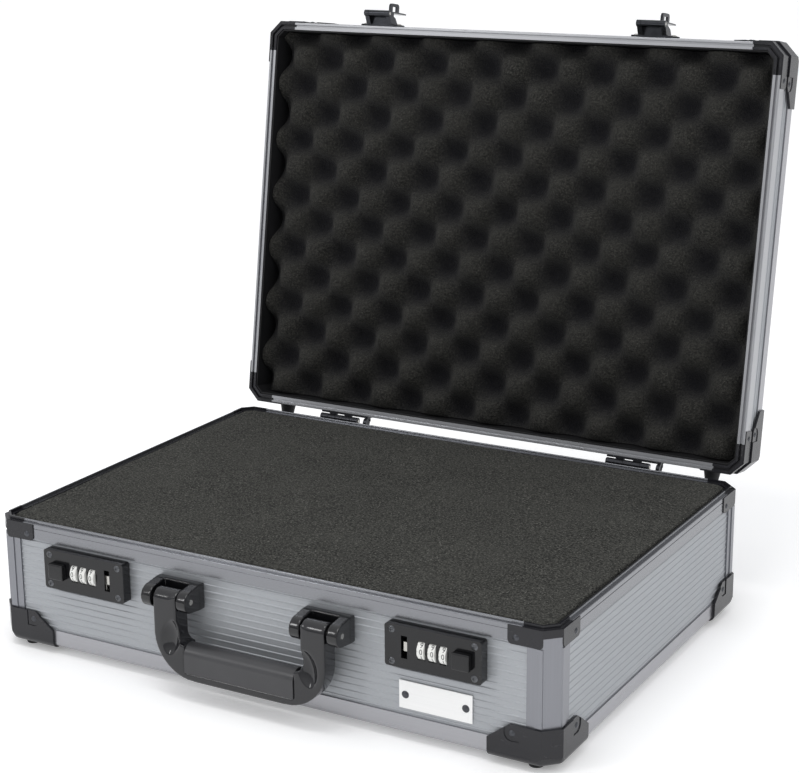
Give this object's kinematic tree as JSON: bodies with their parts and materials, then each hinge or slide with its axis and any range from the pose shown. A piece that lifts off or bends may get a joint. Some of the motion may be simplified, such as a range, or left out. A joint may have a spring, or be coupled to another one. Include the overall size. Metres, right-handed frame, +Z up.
{
  "type": "attache case",
  "caption": "Framed aluminium attache case, open, with foam inserts, number locks, hasps, hinges and a swinging carry handle.",
  "frame": {"origin": "middle of the open case's footprint, on the plane of its feet", "axes": "+Z up, -Y towards the front with the handle and locks, +X towards the right-hand end seen from the front"},
  "size_m": [0.463, 0.4526, 0.4495],
  "materials": {
    "panel": "satin",
    "rail": "satin",
    "rim": "satin",
    "black_plastic": "satin",
    "rubber_foot": "matte",
    "rivet": "satin",
    "lining": "matte",
    "foam": "matte",
    "lock_plate": "gloss",
    "lock_steel": "satin",
    "bright_steel": "satin",
    "dial": "satin",
    "handle_bow": "gloss",
    "grip": "matte",
    "nameplate": "satin",
    "hinge_steel": "satin",
    "hasp_steel": "satin"
  },
  "bodies": {
    "base": {"base_bottom_panel": "panel", "base_front_panel": "panel", "base_rear_panel": "panel", "base_side_panels": "panel", "base_corner_profiles": "rail", "base_bottom_rails": "rail", "base_rim_rails": "rim", "base_rim_corners": "black_plastic", "base_ball_corners": "black_plastic", "base_feet": "rubber_foot", "base_heel_feet": "rubber_foot", "base_rivets": "rivet", "base_lining": "lining", "base_foam_block": "foam", "base_foam_pad": "foam", "lock_plate_left": "lock_plate", "lock_plate_right": "lock_plate", "lock_chassis": "lock_steel", "lock_screws": "lock_steel", "dial_shafts": "bright_steel", "bolt_springs": "bright_steel", "handle_brackets": "black_plastic", "handle_pins": "bright_steel", "handle_bolts": "bright_steel", "nameplate": "nameplate", "nameplate_rivets": "rivet", "hinge_base_leaves": "hinge_steel", "hinge_pins": "bright_steel"},
    "lid": {"lid_top_panel": "panel", "lid_front_panel": "panel", "lid_rear_panel": "panel", "lid_side_panels": "panel", "lid_corner_profiles": "rail", "lid_edge_rails": "rail", "lid_rim_rails": "rim", "lid_rim_corners": "black_plastic", "lid_ball_corners": "black_plastic", "lid_heel_feet": "rubber_foot", "lid_rivets": "rivet", "lid_lining": "lining", "lid_foam": "foam", "hinge_lid_leaves": "hinge_steel", "hasp_plates": "hasp_steel", "hasp_screws": "bright_steel", "hasp_pins": "bright_steel"},
    "handle": {"handle_bow": "handle_bow", "handle_grip": "grip"},
    "hasp_left": {"hasp_left": "hasp_steel"},
    "hasp_right": {"hasp_right": "hasp_steel"},
    "slider_left": {"button_left": "lock_plate", "bolt_left": "bright_steel"},
    "slider_right": {"button_right": "lock_plate", "bolt_right": "bright_steel"},
    "wheel_left_1": {"dial_left_1": "dial"},
    "wheel_left_2": {"dial_left_2": "dial"},
    "wheel_left_3": {"dial_left_3": "dial"},
    "wheel_right_1": {"dial_right_1": "dial"},
    "wheel_right_2": {"dial_right_2": "dial"},
    "wheel_right_3": {"dial_right_3": "dial"}
  },
  "joints": [
    {"name": "lid_hinge", "type": "hinge", "parent": "base", "child": "lid", "pos_m": [0, 0.1325, 0.1014], "axis": [1, 0, 0], "range_deg": [0, 99.2]},
    {"name": "handle_swing", "type": "hinge", "parent": "base", "child": "handle", "pos_m": [0, -0.2183, 0.0735], "axis": [-1, 0, 0], "range_deg": [-5, 95]},
    {"name": "left_hasp", "type": "hinge", "parent": "lid", "child": "hasp_left", "pos_m": [-0.1227, 0.18492, 0.44322], "axis": [1, 0, 0], "range_deg": [0, 180]},
    {"name": "right_hasp", "type": "hinge", "parent": "lid", "child": "hasp_right", "pos_m": [0.1227, 0.18492, 0.44322], "axis": [1, 0, 0], "range_deg": [0, 180]},
    {"name": "left_button", "type": "slide", "parent": "base", "child": "slider_left", "axis": [-1, 0, 0], "range_m": [0, 0.004], "stiffness_N_per_m": 400, "springref_m": -0.002, "deforming": ["bolt_springs"]},
    {"name": "right_button", "type": "slide", "parent": "base", "child": "slider_right", "axis": [1, 0, 0], "range_m": [0, 0.004], "stiffness_N_per_m": 400, "springref_m": -0.002, "deforming": ["bolt_springs"]},
    {"name": "left_wheel_1", "type": "hinge", "parent": "base", "child": "wheel_left_1", "pos_m": [-0.1522, -0.2052, 0.0715], "axis": [1, 0, 0], "continuous": true},
    {"name": "left_wheel_2", "type": "hinge", "parent": "base", "child": "wheel_left_2", "pos_m": [-0.144, -0.2052, 0.0715], "axis": [1, 0, 0], "continuous": true},
    {"name": "left_wheel_3", "type": "hinge", "parent": "base", "child": "wheel_left_3", "pos_m": [-0.1358, -0.2052, 0.0715], "axis": [1, 0, 0], "continuous": true},
    {"name": "right_wheel_1", "type": "hinge", "parent": "base", "child": "wheel_right_1", "pos_m": [0.1358, -0.2052, 0.0715], "axis": [1, 0, 0], "continuous": true},
    {"name": "right_wheel_2", "type": "hinge", "parent": "base", "child": "wheel_right_2", "pos_m": [0.144, -0.2052, 0.0715], "axis": [1, 0, 0], "continuous": true},
    {"name": "right_wheel_3", "type": "hinge", "parent": "base", "child": "wheel_right_3", "pos_m": [0.1522, -0.2052, 0.0715], "axis": [1, 0, 0], "continuous": true}
  ]
}
